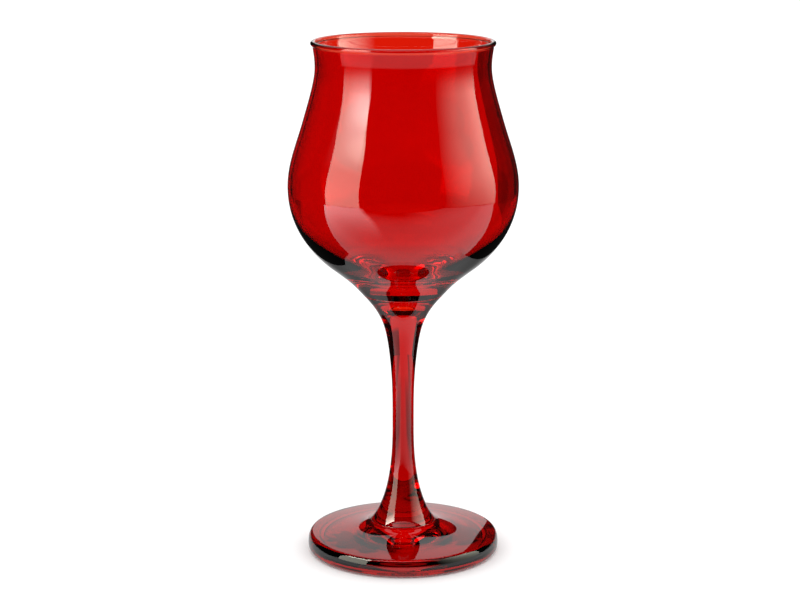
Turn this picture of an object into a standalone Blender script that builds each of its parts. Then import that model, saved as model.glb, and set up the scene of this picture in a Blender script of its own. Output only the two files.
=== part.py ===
"""Red wine glass: a tulip bowl with a flared lip, a drawn stem and a pressed foot.

Metres, +Z up. The origin is on the glass's axis, in the plane that the foot stands on.
Each piece is an outline of (radius, height) points turned round that axis. The three
pieces are fused to each other on flat discs, which are kept a hair's breadth apart here.
"""

import math
from typing import NamedTuple

import bmesh
import bpy
from mathutils import Vector


class Station(NamedTuple):
    """A point on an outline, the outline's direction there, and its two Bezier handle lengths.

    The angle is in degrees: 0 points away from the axis, 90 up, 180 to the axis and 270 down.
    """

    radius: float
    height: float
    angle: float
    before: float
    after: float


# Driving dimensions
GLASS_HEIGHT = 0.1965
LIP_RADIUS = 0.03445
BEAD = 0.00095
WALL = 0.0014
WALL_AT_BELLY = 0.0015
WALL_AT_KNEE = 0.0030
JOINT_GAP = 0.0003

# The foot, from the middle of its hollow underside out to its edge and in over the top
UNDERSIDE = Station(0.0, 0.0028, 0, 0.0, 0.0180)
RING_INNER = Station(0.0318, 0.0, 300, 0.0030, 0.0)
RING_OUTER = Station(0.0355, 0.0, 15, 0.0, 0.0012)
FOOT_EDGE = Station(0.0368, 0.0026, 90, 0.0014, 0.0022)
FOOT_SHOULDER = Station(0.0352, 0.0067, 172, 0.0009, 0.0100)
FOOT_JOINT = Station(0.0125, 0.0111, 130, 0.0040, 0.0092)

# The outside of the stem and the bowl, going up
WAIST = Station(0.0041, 0.0479, 90, 0.0169, 0.0105)
STEM_RISE = Station(0.0056, 0.0799, 82, 0.0121, 0.0104)
BOWL_JOINT = Station(0.0154, 0.1006, 47, 0.0090, 0.0054)
KNEE = Station(0.0274, 0.1114, 37, 0.0101, 0.0082)
BELLY = Station(0.0434, 0.1419, 90, 0.0157, 0.0087)
SHOULDER = Station(0.0374, 0.1670, 106, 0.0094, 0.0062)
THROAT = Station(0.0329, 0.1866, 90, 0.0050, 0.0033)
UNDER_LIP = Station(0.0336, 0.1940, 82, 0.0028, 0.0002)
BEAD_START = -60
BEAD_END = 180
HANDLE_INTO_BEAD = 0.0002
HANDLE_OUT_OF_BEAD = 0.0004

# The middle of the bowl's inside
WELL = Station(0.0, 0.1112, 180, 0.0180, 0.0)

# How finely the curves are drawn
SEGMENTS = 64
BEAD_STEPS = 8
AXIS_MERGE = 0.000001
SHARP_ANGLE = 40

RED_GLASS = (0.56, 0.006, 0.003, 1.0)


def toward(angle):
    """The unit vector of (radius, height) at an angle in degrees."""
    return Vector((math.cos(math.radians(angle)), math.sin(math.radians(angle))))


def span(start, end, steps):
    """The Bezier curve from one station to the next, without its first point."""
    first = Vector((start.radius, start.height))
    last = Vector((end.radius, end.height))
    leaving = first + start.after * toward(start.angle)
    arriving = last - end.before * toward(end.angle)
    points = []
    for step in range(1, steps + 1):
        t = step / steps
        s = 1 - t
        points.append(s**3 * first + 3 * s**2 * t * leaving + 3 * s * t**2 * arriving + t**3 * last)
    return points


def point(station):
    return Vector((station.radius, station.height))


def raised(station, by):
    return station._replace(height=station.height + by)


def foot_outline():
    seat = Vector((0.0, FOOT_JOINT.height))
    underside = [point(UNDERSIDE), *span(UNDERSIDE, RING_INNER, 8)]
    edge = [point(RING_OUTER), *span(RING_OUTER, FOOT_EDGE, 3), *span(FOOT_EDGE, FOOT_SHOULDER, 4)]
    return underside + edge + span(FOOT_SHOULDER, FOOT_JOINT, 6) + [seat]


def inside(station, wall):
    """The same place on the wall's inner face, for an outline that runs the other way."""
    radius, height = point(station) + wall * toward(station.angle + 90)
    return Station(radius, height, station.angle + 180, station.after, station.before)


def stem_outline():
    base = raised(FOOT_JOINT, JOINT_GAP)
    side = [point(base), *span(base, WAIST, 9), *span(WAIST, STEM_RISE, 5)]
    top = span(STEM_RISE, BOWL_JOINT, 6)
    return [Vector((0.0, base.height)), *side, *top, Vector((0.0, BOWL_JOINT.height))]


def bead_station(turn):
    """A point of the round bead that ends the wall, at an angle about the bead's middle."""
    middle = Vector((LIP_RADIUS - BEAD, GLASS_HEIGHT - BEAD))
    radius, height = middle + BEAD * toward(turn)
    return Station(radius, height, turn + 90, HANDLE_INTO_BEAD, HANDLE_OUT_OF_BEAD)


def bowl_outline():
    """The outside from the joint up, over the round bead, and down the inside to the well."""
    base = raised(BOWL_JOINT, JOINT_GAP)
    outside = [point(base), *span(base, KNEE, 5), *span(KNEE, BELLY, 9), *span(BELLY, SHOULDER, 6)]
    neck = span(SHOULDER, THROAT, 5) + span(THROAT, UNDER_LIP, 2)
    turn = (BEAD_END - BEAD_START) / BEAD_STEPS
    bead = [bead_station(BEAD_START + turn * step) for step in range(BEAD_STEPS + 1)]
    lip = span(UNDER_LIP, bead[0], 2) + [point(place) for place in bead[1:]]
    inner = [bead[-1], inside(UNDER_LIP, WALL), inside(THROAT, WALL), inside(SHOULDER, WALL)]
    inner += [inside(BELLY, WALL_AT_BELLY), inside(KNEE, WALL_AT_KNEE), WELL]
    down = []
    for start, end, steps in zip(inner, inner[1:], (2, 2, 5, 6, 9, 6)):
        down += span(start, end, steps)
    return [Vector((0.0, base.height)), *outside, *neck, *lip, *down]


def glass(name):
    material = bpy.data.materials.new(name)
    material.use_nodes = True
    shader = material.node_tree.nodes["Principled BSDF"]
    shader.inputs["Base Color"].default_value = RED_GLASS
    shader.inputs["Roughness"].default_value = 0.02
    shader.inputs["Metallic"].default_value = 0.0
    shader.inputs["IOR"].default_value = 1.5
    shader.inputs["Transmission Weight"].default_value = 1.0
    return material


def turned(name, outline, material):
    """A closed solid: the outline starts and ends on the axis and is spun right round it."""
    body = bmesh.new()
    points = [body.verts.new((radius, 0.0, height)) for radius, height in outline]
    edges = [body.edges.new(pair) for pair in zip(points, points[1:])]
    bmesh.ops.spin(
        body,
        geom=points + edges,
        cent=(0, 0, 0),
        axis=(0, 0, 1),
        angle=math.tau,
        steps=SEGMENTS,
        use_merge=True,
    )
    bmesh.ops.remove_doubles(body, verts=body.verts, dist=AXIS_MERGE)
    bmesh.ops.recalc_face_normals(body, faces=body.faces)
    mesh = bpy.data.meshes.new(name)
    body.to_mesh(mesh)
    body.free()
    mesh.shade_smooth()
    mesh.set_sharp_from_angle(angle=math.radians(SHARP_ANGLE))
    mesh.materials.append(material)
    piece = bpy.data.objects.new(name, mesh)
    bpy.context.scene.collection.objects.link(piece)
    return piece


for leftover in list(bpy.data.objects):
    bpy.data.objects.remove(leftover, do_unlink=True)

turned("foot", foot_outline(), glass("foot_glass"))
turned("stem", stem_outline(), glass("stem_glass"))
turned("bowl", bowl_outline(), glass("bowl_glass"))
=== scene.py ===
"""Looks of the red wine glass: the three glass pieces, their materials, and a small studio."""

import math
from typing import NamedTuple

import bmesh
import bpy
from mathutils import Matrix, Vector


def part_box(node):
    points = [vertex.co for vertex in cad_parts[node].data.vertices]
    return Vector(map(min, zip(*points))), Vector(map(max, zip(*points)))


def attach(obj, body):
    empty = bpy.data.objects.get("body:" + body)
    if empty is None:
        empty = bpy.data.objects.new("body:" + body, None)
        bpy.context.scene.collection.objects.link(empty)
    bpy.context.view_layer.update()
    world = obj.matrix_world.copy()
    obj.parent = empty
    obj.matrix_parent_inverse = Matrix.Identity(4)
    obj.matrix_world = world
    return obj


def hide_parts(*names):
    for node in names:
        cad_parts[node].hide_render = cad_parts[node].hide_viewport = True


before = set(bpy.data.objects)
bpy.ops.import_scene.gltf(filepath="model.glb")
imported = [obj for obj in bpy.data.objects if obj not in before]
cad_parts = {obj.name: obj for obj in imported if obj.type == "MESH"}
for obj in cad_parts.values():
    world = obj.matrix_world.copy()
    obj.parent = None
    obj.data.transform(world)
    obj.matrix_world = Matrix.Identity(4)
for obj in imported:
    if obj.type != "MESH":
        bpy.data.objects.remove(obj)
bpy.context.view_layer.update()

# ---------------------------------------------------------------------------------------
# Sizes. Overall sizes come from the frame, and the rest repeat the CAD's stations, in metres.
# ---------------------------------------------------------------------------------------


class Station(NamedTuple):
    """A point on an outline, its direction there in degrees, and its two Bezier handle lengths.

    Angle 0 points away from the axis, 90 up, 180 to the axis and 270 down.
    """

    radius: float
    height: float
    angle: float
    before: float
    after: float


FOOT_LOW, FOOT_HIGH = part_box("foot")
STEM_LOW, STEM_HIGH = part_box("stem")
BOWL_LOW, BOWL_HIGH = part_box("bowl")

GLASS_HEIGHT = BOWL_HIGH[2]
LIP_RADIUS = 0.03445
BEAD = 0.00095
WALL = 0.0014
WALL_AT_BELLY = 0.0015
WALL_AT_KNEE = 0.0030

# Fused pieces meet in the middle of the CAD's gap, each held back from there by the seam
SEAM = 0.000002
FOOT_SEAM = (FOOT_HIGH[2] + STEM_LOW[2]) / 2
BOWL_SEAM = (STEM_HIGH[2] + BOWL_LOW[2]) / 2

# The foot, from the middle of its hollow underside out to its edge and in over the top
UNDERSIDE = Station(0.0, 0.0028, 0, 0.0, 0.0180)
RING_INNER = Station(0.0318, 0.0, 300, 0.0030, 0.0)
RING_OUTER = Station(0.0355, 0.0, 15, 0.0, 0.0012)
FOOT_EDGE = Station(FOOT_HIGH[0], 0.0026, 90, 0.0014, 0.0022)
FOOT_SHOULDER = Station(0.0352, 0.0067, 172, 0.0009, 0.0100)
FOOT_JOINT = Station(0.0125, FOOT_SEAM, 130, 0.0040, 0.0092)

# The outside of the stem and the bowl, going up
WAIST = Station(0.0041, 0.0479, 90, 0.0169, 0.0105)
STEM_RISE = Station(0.0056, 0.0799, 82, 0.0121, 0.0104)
BOWL_JOINT = Station(STEM_HIGH[0], BOWL_SEAM, 47, 0.0090, 0.0054)
KNEE = Station(0.0274, 0.1114, 37, 0.0101, 0.0082)
BELLY = Station(BOWL_HIGH[0], 0.1419, 90, 0.0157, 0.0087)
SHOULDER = Station(0.0374, 0.1670, 106, 0.0094, 0.0062)
THROAT = Station(0.0329, 0.1866, 90, 0.0050, 0.0033)
UNDER_LIP = Station(0.0336, 0.1940, 82, 0.0028, 0.0002)

# The bead that ends the wall, in degrees about its middle
BEAD_START = -60
BEAD_END = 180
BEAD_STEP = 5
HANDLE_INTO_BEAD = 0.0002
HANDLE_OUT_OF_BEAD = 0.0004

# The middle of the bowl's inside
WELL = Station(0.0, 0.1112, 180, 0.0180, 0.0)

# How finely the curves are drawn, in steps from each station to the next
SEGMENTS = 192
UNDERSIDE_STEPS = 60
RING_STEPS = 4
FOOT_STEPS = (16, 24, 60)
STEM_STEPS = (90, 50, 60)
OUTSIDE_STEPS = (50, 70, 50, 40, 16, 8)
INSIDE_STEPS = (8, 16, 40, 50, 70, 60)
COATED_BEAD_STEPS = 30
ON_AXIS = 1e-7

# Material indices of a piece's faces
OUTSIDE, INSIDE, JOINT = 0, 1, 2

# ---------------------------------------------------------------------------------------
# Outlines
# ---------------------------------------------------------------------------------------


def toward(angle):
    """The unit vector of (radius, height) at an angle in degrees."""
    return Vector((math.cos(math.radians(angle)), math.sin(math.radians(angle))))


def point(station):
    return Vector((station.radius, station.height))


def span(start, end, steps):
    """The Bezier curve from one station to the next, without its first point."""
    first, last = point(start), point(end)
    leaving = first + start.after * toward(start.angle)
    arriving = last - end.before * toward(end.angle)
    points = []
    for step in range(1, steps + 1):
        t = step / steps
        s = 1 - t
        points.append(s**3 * first + 3 * s**2 * t * leaving + 3 * s * t**2 * arriving + t**3 * last)
    return points


def path(stations, steps):
    """The outline through several stations, without its first point."""
    points = []
    for start, end, count in zip(stations, stations[1:], steps):
        points += span(start, end, count)
    return points


def straight(start, end, steps):
    """Points along a straight line, without its first."""
    return [start.lerp(end, step / steps) for step in range(1, steps + 1)]


def ring(body, radius, height):
    """The vertices of one turn about the axis, or the single one that is on it."""
    if radius < ON_AXIS:
        return [body.verts.new((0.0, 0.0, height))]
    turns = [math.tau * k / SEGMENTS for k in range(SEGMENTS)]
    return [body.verts.new((radius * math.cos(a), radius * math.sin(a), height)) for a in turns]


def turned(name, bands, materials):
    """A closed body turned round the axis. Each band is (outline points, material index)."""
    body = bmesh.new()
    places = [(place, slot) for outline, slot in bands for place in outline]
    rings = [ring(body, radius, height) for (radius, height), _ in places]
    for (lower, upper), (_, slot) in zip(zip(rings, rings[1:]), places[1:]):
        for k in range(SEGMENTS):
            corners = [
                lower[k % len(lower)],
                lower[(k + 1) % len(lower)],
                upper[(k + 1) % len(upper)],
                upper[k % len(upper)],
            ]
            face = body.faces.new(list(dict.fromkeys(corners)))
            face.material_index = slot
            face.smooth = slot != JOINT
    bmesh.ops.recalc_face_normals(body, faces=body.faces)
    mesh = bpy.data.meshes.new(name)
    body.to_mesh(mesh)
    body.free()
    for material in materials:
        mesh.materials.append(material)
    piece = bpy.data.objects.new(name, mesh)
    bpy.context.scene.collection.objects.link(piece)
    return piece


# ---------------------------------------------------------------------------------------
# Materials
# ---------------------------------------------------------------------------------------

GLASS_IOR = 1.5
UNTINTED = (1.0, 1.0, 1.0, 1.0)
UNLIT = (0.0, 0.0, 0.0, 1.0)

# The red coat: where it is thin and where it is dense, at the lip, and low on the foot, where it is darker
COATED_RED = (0.60, 0.0001, 0.000002, 1.0)
COATED_DENSE = (0.56, 0.0001, 0.000002, 1.0)
COATED_LIP = (0.66, 0.004, 0.001, 1.0)
COATED_DARKER_LOW = (0.26, 0.0002, 0.0002, 1.0)
LIP_FADE = (0.0026, 0.0012)
DARKER_LOW_FADE = (0.0056, 0.0064)
DENSITY_SCALE = 60.0
DENSITY_DETAIL = 2.0
DENSITY_FADE = (0.3, 0.7)

# Depth of the long soft waves that hot working leaves in each kind of surface
PRESSED_RELIEF = 0.00004
DRAWN_RELIEF = 0.00003
BLOWN_RELIEF = 0.00003
CLEAR_RELIEF = 0.00003
WAVE_SCALE = 45.0
WAVE_DETAIL = 1.0

# Haze where the glass has been handled, and where the rest ring has rubbed on tables
SMUDGE_SCALE = 90.0
SMUDGE_DETAIL = 4.0
SMUDGE_FADE = (0.55, 0.8)
SMUDGE_ROUGHNESS = 0.035
SCUFF_SCALE = 900.0
SCUFF_DETAIL = 5.0
SCUFF_TOP = 0.0006
SCUFF_ROUGHNESS = 0.35


def principled(name):
    material = bpy.data.materials.new(name)
    material.use_nodes = True
    return material, material.node_tree.nodes, material.node_tree.links


class Recipe:
    """A material whose values are worked out from places in the object's own space."""

    def __init__(self, name):
        self.material, self.nodes, self.links = principled(name)
        self.shader = self.nodes["Principled BSDF"]
        coordinates = self.nodes.new("ShaderNodeTexCoord")
        split = self.nodes.new("ShaderNodeSeparateXYZ")
        self.place = coordinates.outputs["Object"]
        self.links.new(self.place, split.inputs[0])
        self.x, self.y, self.z = split.outputs

    def feed(self, socket, value):
        """Link another node's output to a socket, or set the socket to a plain value."""
        if isinstance(value, bpy.types.NodeSocket):
            self.links.new(value, socket)
        else:
            socket.default_value = value

    def math(self, operation, first, second=0.0):
        node = self.nodes.new("ShaderNodeMath")
        node.operation = operation
        self.feed(node.inputs[0], first)
        self.feed(node.inputs[1], second)
        return node.outputs[0]

    def noise(self, scale, detail):
        """Smooth noise from 0 to 1."""
        texture = self.nodes.new("ShaderNodeTexNoise")
        texture.inputs["Scale"].default_value = scale
        texture.inputs["Detail"].default_value = detail
        self.links.new(self.place, texture.inputs["Vector"])
        return texture.outputs["Fac"]

    def fade(self, value, start, end, low, high):
        """From low to high as the value goes from start to end, easing in and out."""
        node = self.nodes.new("ShaderNodeMapRange")
        node.interpolation_type = "SMOOTHSTEP"
        ends = {"From Min": start, "From Max": end, "To Min": low, "To Max": high}
        for name, number in ends.items():
            node.inputs[name].default_value = number
        self.links.new(value, node.inputs["Value"])
        return node.outputs["Result"]

    def mix(self, factor, first, second):
        """A blend of two colours."""
        node = self.nodes.new("ShaderNodeMix")
        node.data_type = "RGBA"
        self.feed(node.inputs["Factor"], factor)
        self.feed(node.inputs["A"], first)
        self.feed(node.inputs["B"], second)
        return node.outputs["Result"]


class Glass(Recipe):
    """Hot-worked glass: long soft waves in the surface, and a little patchy haze."""

    def __init__(self, name, relief):
        super().__init__(name)
        self.shader.inputs["IOR"].default_value = GLASS_IOR
        self.shader.inputs["Transmission Weight"].default_value = 1.0
        waves = self.nodes.new("ShaderNodeBump")
        waves.inputs["Strength"].default_value = 1.0
        waves.inputs["Distance"].default_value = relief
        self.links.new(self.noise(WAVE_SCALE, WAVE_DETAIL), waves.inputs["Height"])
        self.links.new(waves.outputs["Normal"], self.shader.inputs["Normal"])
        smudges = self.noise(SMUDGE_SCALE, SMUDGE_DETAIL)
        self.haze = self.fade(smudges, *SMUDGE_FADE, 0.0, SMUDGE_ROUGHNESS)

    def finish(self, colour):
        self.feed(self.shader.inputs["Base Color"], colour)
        self.links.new(self.haze, self.shader.inputs["Roughness"])
        return self.material


def coated_glass(name, relief, foot=False):
    """Clear glass under a red coat, uneven in density, that thins out at the lip.

    On the foot the coat is darker low down, and the rest ring is scuffed.
    """
    glass = Glass(name, relief)
    density = glass.fade(glass.noise(DENSITY_SCALE, DENSITY_DETAIL), *DENSITY_FADE, 0.0, 1.0)
    coat = glass.mix(density, COATED_DENSE, COATED_RED)
    lip_low, lip_high = (GLASS_HEIGHT - drop for drop in LIP_FADE)
    thinned = glass.fade(glass.z, lip_low, lip_high, 0.0, 1.0)
    colour = glass.mix(thinned, coat, COATED_LIP)
    if foot:
        # The foot's red is darker towards the bottom, over its edge and the rest ring
        colour = glass.mix(glass.fade(glass.z, *DARKER_LOW_FADE, 1.0, 0.0), colour, COATED_DARKER_LOW)
        rubbed = glass.fade(glass.z, 0.0, SCUFF_TOP, SCUFF_ROUGHNESS, 0.0)
        scuffs = glass.math("MULTIPLY", glass.noise(SCUFF_SCALE, SCUFF_DETAIL), rubbed)
        glass.haze = glass.math("ADD", scuffs, glass.haze)
    return glass.finish(colour)


def fused_joint():
    """Where two pieces are one glass: nothing to see."""
    material, nodes, _ = principled("fused_joint")
    nodes["Principled BSDF"].inputs["Alpha"].default_value = 0.0
    return material


CLEAR = Glass("clear_glass", CLEAR_RELIEF).finish(UNTINTED)
FUSED = fused_joint()
FOOT_GLASS = [coated_glass("pressed_red_glass", PRESSED_RELIEF, foot=True), CLEAR, FUSED]
STEM_GLASS = [coated_glass("drawn_red_glass", DRAWN_RELIEF), CLEAR, FUSED]
BOWL_GLASS = [coated_glass("blown_red_glass", BLOWN_RELIEF), CLEAR, FUSED]

# ---------------------------------------------------------------------------------------
# Pieces
# ---------------------------------------------------------------------------------------


def make_foot():
    joint = FOOT_JOINT._replace(height=FOOT_SEAM - SEAM)
    underside = [point(UNDERSIDE), *span(UNDERSIDE, RING_INNER, UNDERSIDE_STEPS)]
    rest = straight(point(RING_INNER), point(RING_OUTER), RING_STEPS)
    top = path([RING_OUTER, FOOT_EDGE, FOOT_SHOULDER, joint], FOOT_STEPS)
    seat = [Vector((0.0, joint.height))]
    return turned("foot_glass", [(underside + rest + top, OUTSIDE), (seat, JOINT)], FOOT_GLASS)


def make_stem():
    base = FOOT_JOINT._replace(height=FOOT_SEAM + SEAM)
    head = BOWL_JOINT._replace(height=BOWL_SEAM - SEAM)
    seat = [Vector((0.0, base.height)), point(base)]
    side = path([base, WAIST, STEM_RISE, head], STEM_STEPS)
    crown = [Vector((0.0, head.height))]
    return turned("stem_glass", [(seat, JOINT), (side, OUTSIDE), (crown, JOINT)], STEM_GLASS)


def inside(station, wall):
    """The same place on the wall's inner face, for an outline that runs the other way."""
    radius, height = point(station) + wall * toward(station.angle + 90)
    return Station(radius, height, station.angle + 180, station.after, station.before)


def bead_station(turn):
    """A point of the round bead that ends the wall, at an angle about the bead's middle."""
    middle = Vector((LIP_RADIUS - BEAD, GLASS_HEIGHT - BEAD))
    radius, height = middle + BEAD * toward(turn)
    return Station(radius, height, turn + 90, HANDLE_INTO_BEAD, HANDLE_OUT_OF_BEAD)


def make_bowl():
    """The outside from the joint up, over the round bead, and down the inside to the well."""
    base = BOWL_JOINT._replace(height=BOWL_SEAM + SEAM)
    seat = [Vector((0.0, base.height)), point(base)]
    bead = [bead_station(turn) for turn in range(BEAD_START, BEAD_END + 1, BEAD_STEP)]
    outside = path([base, KNEE, BELLY, SHOULDER, THROAT, UNDER_LIP, bead[0]], OUTSIDE_STEPS)
    over = [point(place) for place in bead[1:]]
    inner = [bead[-1], inside(UNDER_LIP, WALL), inside(THROAT, WALL), inside(SHOULDER, WALL)]
    inner += [inside(BELLY, WALL_AT_BELLY), inside(KNEE, WALL_AT_KNEE), WELL]
    coated = outside + over[:COATED_BEAD_STEPS]
    clear = over[COATED_BEAD_STEPS:] + path(inner, INSIDE_STEPS)
    return turned("bowl_glass", [(seat, JOINT), (coated, OUTSIDE), (clear, INSIDE)], BOWL_GLASS)


foot = make_foot()
stem = make_stem()
bowl = make_bowl()
for piece, node in ((foot, "foot"), (stem, "stem"), (bowl, "bowl")):
    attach(piece, "root")
    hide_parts(node)

# ---------------------------------------------------------------------------------------
# Studio. The floor and the world light the floor; the cards are what the glass mirrors and bends.
# Cards hang on a rig whose -Y faces the camera. Azimuths are in degrees from there, to the right.
# A curve below is a list of (place, brightness) stops.
# ---------------------------------------------------------------------------------------

FLOOR_REACH = 12.0
FLOOR_LEVEL = -0.0004
FLOOR_WHITE = (0.95, 0.95, 0.95, 1.0)
WORLD_ON_FLOOR = 1.3
WORLD_IN_GLASS = 0.012

# The table's cards lie in thin layers, the nearest to the glass on top
TABLE_LEVEL = -0.0002
UNDER_FOOT_LEVEL = TABLE_LEVEL + 0.0001
WING_TABLE_LEVEL = TABLE_LEVEL - 0.0001
DIM_TABLE_LEVEL = TABLE_LEVEL - 0.00015

SOFTBOX_RADIUS = 0.65
SOFTBOX_SPLIT = 0.36
SOFTBOX_TOP = 0.62
SOFTBOX_WARMTH = (1.0, 0.98, 0.82, 1.0)
LEFT_SOFTBOX = (-80, -42.6)
RIGHT_SOFTBOX = (40.6, 100)
CEILING_HEIGHT = 1.1
CARD_STEPS = 32
OVERHEAD_STEPS = 96


def stage_mesh(name, corners, faces, material):
    mesh = bpy.data.meshes.new(name)
    mesh.from_pydata(corners, [], faces)
    mesh.materials.append(material)
    card = bpy.data.objects.new(name, mesh)
    bpy.context.scene.collection.objects.link(card)
    return card


def only_in_glass(card):
    """Seen through and in the glass, but not by the camera, and lighting nothing."""
    card.visible_camera = False
    card.visible_diffuse = False
    card.visible_shadow = False


class Glow(Recipe):
    """An emissive card material."""

    def __init__(self, name, tint=UNTINTED):
        super().__init__(name)
        self.shader.inputs["Base Color"].default_value = UNLIT
        self.shader.inputs["Specular IOR Level"].default_value = 0.0
        self.shader.inputs["Emission Color"].default_value = tint

    def azimuth(self):
        turn = self.math("ARCTAN2", self.x, self.math("MULTIPLY", self.y, -1.0))
        return self.math("DEGREES", turn)

    def distance(self):
        """How far it is to the foot of the axis."""
        away = self.nodes.new("ShaderNodeVectorMath")
        away.operation = "LENGTH"
        self.links.new(self.place, away.inputs[0])
        return away.outputs["Value"]

    def curve(self, value, stops):
        """The brightness at a value, in straight lines from stop to stop."""
        low, high = stops[0][0], stops[-1][0]
        peak = max(brightness for _, brightness in stops)
        along = self.nodes.new("ShaderNodeMapRange")
        along.inputs["From Min"].default_value = low
        along.inputs["From Max"].default_value = high
        self.links.new(value, along.inputs["Value"])
        ramp = self.nodes.new("ShaderNodeValToRGB")
        elements = ramp.color_ramp.elements
        while len(elements) < len(stops):
            elements.new(0.5)
        for element, (at, brightness) in zip(elements, stops):
            element.position = (at - low) / (high - low)
            element.color = (*[brightness / peak] * 3, 1.0)
        self.links.new(along.outputs["Result"], ramp.inputs["Fac"])
        return self.math("MULTIPLY", ramp.outputs["Color"], peak)

    def shine(self, brightness):
        self.feed(self.shader.inputs["Emission Strength"], brightness)
        return self.material


def make_floor():
    material, nodes, _ = principled("floor_white")
    shader = nodes["Principled BSDF"]
    shader.inputs["Base Color"].default_value = FLOOR_WHITE
    shader.inputs["Roughness"].default_value = 1.0
    shader.inputs["Specular IOR Level"].default_value = 0.0
    sides = ((-1, -1), (1, -1), (1, 1), (-1, 1))
    corners = [(x * FLOOR_REACH, y * FLOOR_REACH, FLOOR_LEVEL) for x, y in sides]
    floor = stage_mesh("floor", corners, [(0, 1, 2, 3)], material)
    floor.visible_glossy = False
    floor.visible_transmission = False


def make_world():
    """White to the camera and on the floor, and nearly dark in the glass, which has its cards."""
    world = bpy.data.worlds.new("studio")
    bpy.context.scene.world = world
    world.use_nodes = True
    nodes, links = world.node_tree.nodes, world.node_tree.links
    background = nodes["Background"]
    ray = nodes.new("ShaderNodeLightPath")
    seen = nodes.new("ShaderNodeMath")
    seen.operation = "MAXIMUM"
    level = nodes.new("ShaderNodeMapRange")
    level.inputs["To Min"].default_value = WORLD_IN_GLASS
    level.inputs["To Max"].default_value = WORLD_ON_FLOOR
    links.new(ray.outputs["Is Camera Ray"], seen.inputs[0])
    links.new(ray.outputs["Is Diffuse Ray"], seen.inputs[1])
    links.new(seen.outputs[0], level.inputs["Value"])
    links.new(level.outputs["Result"], background.inputs["Strength"])
    background.inputs["Color"].default_value = UNTINTED


def make_rig(camera):
    """An empty on the glass's axis that turns with the camera, as in turntable photography."""
    rig = bpy.data.objects.new("light_rig", None)
    bpy.context.scene.collection.objects.link(rig)
    facing = rig.constraints.new("LOCKED_TRACK")
    facing.target = camera
    facing.track_axis = "TRACK_NEGATIVE_Y"
    facing.lock_axis = "LOCK_Z"
    return rig


def ways(start, end, steps):
    """Level unit vectors from one azimuth to another."""
    turns = [math.radians(start + (end - start) * step / steps) for step in range(steps + 1)]
    return [(math.sin(turn), -math.cos(turn)) for turn in turns]


def arc(radius, start, end, low, high):
    """Corners and faces of an upright arc about the axis, from one azimuth to another."""
    corners = []
    for x, y in ways(start, end, CARD_STEPS):
        corners += [(radius * x, radius * y, low), (radius * x, radius * y, high)]
    faces = [(2 * k, 2 * k + 2, 2 * k + 3, 2 * k + 1) for k in range(CARD_STEPS)]
    return corners, faces


def fan(inner, outer, start, end, height, steps=CARD_STEPS):
    """Corners and faces of a level ring sector about the axis."""
    corners = []
    for x, y in ways(start, end, steps):
        corners += [(inner * x, inner * y, height), (outer * x, outer * y, height)]
    faces = [(2 * k, 2 * k + 1, 2 * k + 3, 2 * k + 2) for k in range(steps)]
    return corners, faces


def flat_card(name, outline, height, material):
    """A level card of one face, from its (x, y) corners."""
    corners = [(x, y, height) for x, y in outline]
    return stage_mesh(name, corners, [tuple(range(len(outline)))], material)


def make_table_card():
    """The lit table before the glass: dim near the camera, brighter to the right and by the left softbox."""
    glow = Glow("table_glow")
    by_depth = [(-0.42, 0.0), (-0.375, 0.1), (-0.325, 0.25), (-0.275, 0.37), (-0.225, 0.49)]
    by_depth += [(-0.14, 0.53), (-0.105, 0.70), (-0.075, 0.97), (0.0, 1.10), (0.1, 1.15)]
    by_side = [(-0.5, 0.0), (0.0, 0.0), (0.3, 0.48), (0.6, 0.6)]
    lit_by_left = [(0.14, 0.0), (0.19, 0.5), (0.225, 0.9), (0.266, 1.4)]
    lit_by_left += [(0.34, 2.3), (0.43, 3.3), (0.65, 4.2)]
    left_border = [(0.15, 22.0), (0.30, 30.0), (0.45, 38.0), (0.65, 42.0)]
    border_blur = [(-3.0, 0.0), (3.0, 1.0)]
    depth = glow.curve(glow.y, by_depth)
    side = glow.curve(glow.x, by_side)
    distance = glow.distance()
    left = glow.curve(distance, lit_by_left)
    border = glow.curve(distance, left_border)
    beyond = glow.math("SUBTRACT", glow.math("MULTIPLY", glow.azimuth(), -1.0), border)
    lit = glow.math("MULTIPLY", left, glow.curve(beyond, border_blur))
    level = glow.math("ADD", glow.math("ADD", depth, side), lit)
    outline = [(-0.635, -0.085), (-0.60, -0.25), (-0.44, -0.478), (0.42, -0.49)]
    outline += [(0.60, -0.23), (0.635, 0.089), (0.105, 0.0148), (-0.10, -0.014)]
    return flat_card("table_card", outline, TABLE_LEVEL, glow.shine(level))


def make_table_under_foot():
    """The table in the foot's own shade, with two darker wavy patches."""
    radius = 0.048
    patches = ((0.021, 0.003, 0.012, 0.012), (-0.0155, -0.003, 0.0128, 0.015))
    ripple_scale, ripple_detail = 140.0, 1.0
    waviness = 4.0
    from_patch = [(0.4, 0.01), (0.9, 0.05), (1.2, 0.55), (2.5, 0.75)]
    glow = Glow("under_foot_glow")
    ripple = glow.noise(ripple_scale, ripple_detail)
    reaches = []
    for across, along, wide, deep in patches:
        u = glow.math("DIVIDE", glow.math("SUBTRACT", glow.x, across), wide)
        v = glow.math("DIVIDE", glow.math("SUBTRACT", glow.y, along), deep)
        reaches.append(glow.math("ADD", glow.math("MULTIPLY", u, u), glow.math("MULTIPLY", v, v)))
    near = glow.math("MINIMUM", *reaches)
    wobble = glow.math("MULTIPLY", glow.math("SUBTRACT", ripple, 0.5), waviness)
    level = glow.curve(glow.math("ADD", near, wobble), from_patch)
    corners, faces = fan(0.0, radius, 0, 360, UNDER_FOOT_LEVEL)
    return stage_mesh("under_foot", corners, faces, glow.shine(level))


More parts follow.
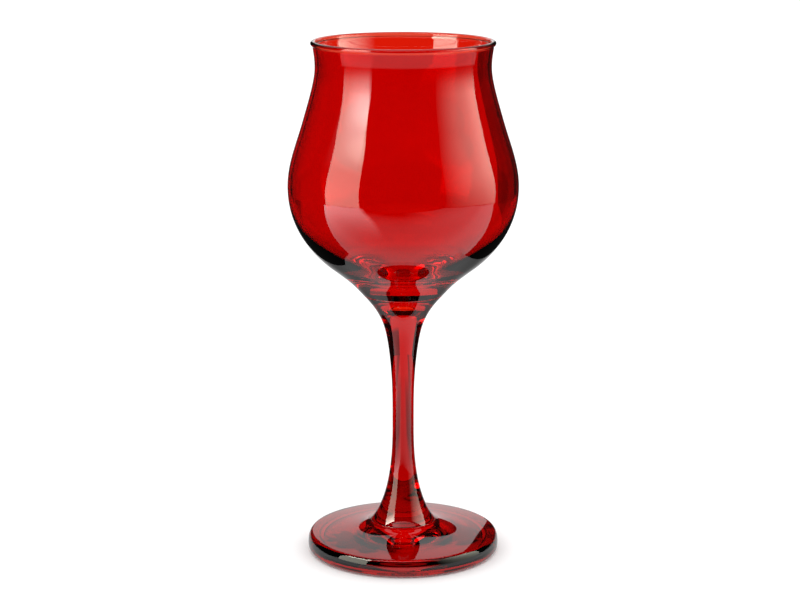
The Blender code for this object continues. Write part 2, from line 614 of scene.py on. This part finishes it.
def make_sweep():
    """The strip of white paper behind the glass, rising to the ceiling. The glass shades its sides."""
    glow = Glow("sweep_glow")
    down_middle = [(-0.02, 1.0), (0.045, 0.8), (0.075, 0.72), (0.14, 0.75)]
    down_middle += [(0.225, 0.85), (0.38, 1.0), (0.7, 1.0)]
    down_sides = [(-0.02, 0.9), (0.045, 0.6), (0.075, 0.4), (0.105, 0.27)]
    down_sides += [(0.14, 0.25), (0.225, 0.45), (0.38, 1.0), (0.7, 1.0)]
    from_middle = [(0.024, 0.0), (0.046, 1.0)]
    middle = glow.curve(glow.y, down_middle)
    sides = glow.curve(glow.y, down_sides)
    off = glow.curve(glow.math("ABSOLUTE", glow.x), from_middle)
    on = glow.math("SUBTRACT", 1.0, off)
    level = glow.math("ADD", glow.math("MULTIPLY", sides, off), glow.math("MULTIPLY", middle, on))
    low = TABLE_LEVEL
    rows = [(-0.014, low, -0.10, 0.108), (0.02, low, -0.097, 0.108), (0.05, low, -0.085, 0.108)]
    rows += [(0.18, low, -0.10, 0.109), (0.66, low, -0.14, 0.105), (0.68, 1.3, -0.14, 0.105)]
    corners = []
    for depth, height, left, right in rows:
        corners += [(left, depth, height), (right, depth, height)]
    faces = [(2 * k, 2 * k + 1, 2 * k + 3, 2 * k + 2) for k in range(len(rows) - 1)]
    return stage_mesh("sweep_card", corners, faces, glow.shine(level))


def make_wing(name, near, far, material):
    """The background on one side of the strip, and the table in front of it."""
    back = 0.665
    top = 1.1
    bright = 0.85
    side = math.copysign(1.0, near)
    upright = [(near, back, TABLE_LEVEL), (far, back, TABLE_LEVEL), (far, back, top), (near, back, top)]
    wing = stage_mesh(name, upright, [(0, 1, 2, 3)], material)
    outline = [(near, 0.06), (side * 0.17, 0.06), (side * 0.36, 0.30), (side * 0.36, 0.66)]
    outline += [(side * 0.20, 0.66), (side * 0.17, 0.27), (near, 0.25)]
    glow = Glow(name + "_table_glow")
    return [wing, flat_card(name + "_table", outline, WING_TABLE_LEVEL, glow.shine(bright))]


def make_wings():
    """The wider background on either side of the strip, as the bowl's rims and the stem bend it."""
    left = Glow("left_wing_glow")
    right = Glow("right_wing_glow")
    climb = right.curve(right.z, [(0.0, 0.3), (0.13, 0.3), (0.2, 1.0), (1.2, 1.0)])
    cards = make_wing("left_wing", -0.14, -0.36, left.shine(1.0))
    cards += make_wing("right_wing", 0.105, 0.34, right.shine(climb))
    outline = [(-0.40, -0.12), (0.40, -0.12), (0.40, 0.66), (-0.40, 0.66)]
    dim = Glow("dim_table_glow").shine(0.45)
    cards.append(flat_card("dim_table", outline, DIM_TABLE_LEVEL, dim))
    for card in cards:
        card.visible_glossy = False
    return cards


def softbox(side, start, end, material):
    """An upright arc. What is above the bowl shows only as a direct reflection."""
    corners, faces = arc(SOFTBOX_RADIUS, start, end, TABLE_LEVEL, SOFTBOX_SPLIT)
    lower = stage_mesh(f"{side}_softbox", corners, faces, material)
    corners, faces = arc(SOFTBOX_RADIUS, start, end, SOFTBOX_SPLIT, SOFTBOX_TOP)
    upper = stage_mesh(f"{side}_softbox_top", corners, faces, material)
    upper.visible_transmission = False
    return [lower, upper]


def make_left_softbox():
    glow = Glow("left_softbox_glow", SOFTBOX_WARMTH)
    rise = [(0.0, 4.0), (0.15, 4.3), (0.34, 4.3), (0.40, 5.5), (0.47, 11.0), (0.60, 20.0)]
    return softbox("left", *LEFT_SOFTBOX, glow.shine(glow.curve(glow.z, rise)))


def make_right_softbox():
    glow = Glow("right_softbox_glow", SOFTBOX_WARMTH)
    around = [(40.6, 0.1), (46, 0.45), (52, 0.95), (62, 1.9), (72, 2.7), (80, 3.3), (90, 4.3), (100, 4.9)]
    rise = [(0.0, 0.4), (0.16, 0.72), (0.28, 1.0), (0.36, 1.0), (0.50, 1.4), (0.62, 1.6)]
    level = glow.math("MULTIPLY", glow.curve(glow.azimuth(), around), glow.curve(glow.z, rise))
    return softbox("right", *RIGHT_SOFTBOX, glow.shine(level))


def make_ceiling():
    """A half disc over and behind the glass, and a curved band of it towards the camera."""
    rear_level = 1.1
    corners, faces = fan(0.0, 0.64, 100, 260, CEILING_HEIGHT)
    rear = stage_mesh("rear_ceiling", corners, faces, Glow("ceiling_glow").shine(rear_level))
    front_glow = Glow("front_ceiling_glow")
    around = [(-50, 2.3), (-30, 2.1), (-10, 1.2), (60, 0.8)]
    level = front_glow.curve(front_glow.azimuth(), around)
    corners, faces = fan(0.60, 1.04, -50, 60, CEILING_HEIGHT)
    return [rear, stage_mesh("front_ceiling", corners, faces, front_glow.shine(level))]


def make_overhead():
    """A ring of light over the bead, which runs round it as a bright line."""
    inner, outer, above = 0.0326, 0.0357, 0.004
    corners, faces = fan(inner, outer, 0, 360, GLASS_HEIGHT + above, OVERHEAD_STEPS)
    card = stage_mesh("overhead", corners, faces, Glow("overhead_glow").shine(1.0))
    card.visible_transmission = False
    return card


def veil(glow, shape, passed, added):
    """A close arc that only direct reflections meet: it passes some light and adds some."""
    clear = glow.nodes.new("ShaderNodeBsdfTransparent")
    light = glow.nodes.new("ShaderNodeEmission")
    both = glow.nodes.new("ShaderNodeAddShader")
    glow.links.new(passed, clear.inputs["Color"])
    glow.links.new(added, light.inputs["Strength"])
    glow.links.new(clear.outputs[0], both.inputs[0])
    glow.links.new(light.outputs[0], both.inputs[1])
    glow.links.new(both.outputs[0], glow.nodes["Material Output"].inputs["Surface"])
    card = stage_mesh(glow.material.name, *shape, glow.material)
    card.visible_transmission = False
    return card


def make_lip_veil():
    """The dim band under the lip."""
    glow = Glow("lip_veil")
    passing = [(0.1805, 1.0), (0.1845, 0.6), (0.1866, 0.2), (0.1885, 0.05), (0.195, 0.0)]
    band = [(0.1805, 0.0), (0.1886, 0.0), (0.1892, 0.62), (0.195, 0.70)]
    shape = arc(0.0357, -46, 57, 0.1805, 0.1945)
    return veil(glow, shape, glow.curve(glow.z, passing), glow.curve(glow.z, band))


def make_neck_veil():
    """The hot patch on the left of the neck."""
    glow = Glow("neck_veil")
    passing = [(0.150, 1.0), (0.2, 1.0)]
    rise = [(0.154, 0.0), (0.1645, 2.0), (0.1725, 4.5), (0.178, 7.5)]
    rise += [(0.182, 7.5), (0.1845, 5.0), (0.1870, 2.0), (0.1885, 0.0)]
    around = [(-52, 0.0), (-47, 0.1), (-41, 0.5), (-34, 0.9), (-29, 1.0), (-26, 1.0)]
    patch = glow.math("MULTIPLY", glow.curve(glow.z, rise), glow.curve(glow.azimuth(), around))
    shape = arc(0.046, -54, -26, 0.152, 0.1885)
    return veil(glow, shape, glow.curve(glow.z, passing), patch)


def make_cards(rig):
    cards = [make_table_card(), make_table_under_foot(), make_sweep(), *make_left_softbox()]
    cards += [*make_right_softbox(), *make_wings(), *make_ceiling()]
    cards += [make_overhead(), make_lip_veil(), make_neck_veil()]
    for card in cards:
        card.parent = rig
        only_in_glass(card)


CAMERA_DISTANCE = 0.790
CAMERA_HEIGHT = 0.274
CAMERA_TILT = 12.55
CAMERA_ASIDE = -0.0012
CAMERA_LENS = 95.9
CAMERA_SENSOR = 36.0
CAMERA_NEAR = 0.01


def make_camera():
    data = bpy.data.cameras.new("camera")
    data.lens = CAMERA_LENS
    data.sensor_width = CAMERA_SENSOR
    data.clip_start = CAMERA_NEAR
    camera = bpy.data.objects.new("camera", data)
    camera.location = (CAMERA_ASIDE, -CAMERA_DISTANCE, CAMERA_HEIGHT)
    camera.rotation_euler = (math.radians(90 - CAMERA_TILT), 0.0, 0.0)
    bpy.context.scene.collection.objects.link(camera)
    bpy.context.scene.camera = camera
    return camera


camera = make_camera()
make_floor()
make_world()
make_cards(make_rig(camera))
bpy.context.scene.view_settings.view_transform = "Standard"
bpy.context.scene.view_settings.look = "None"
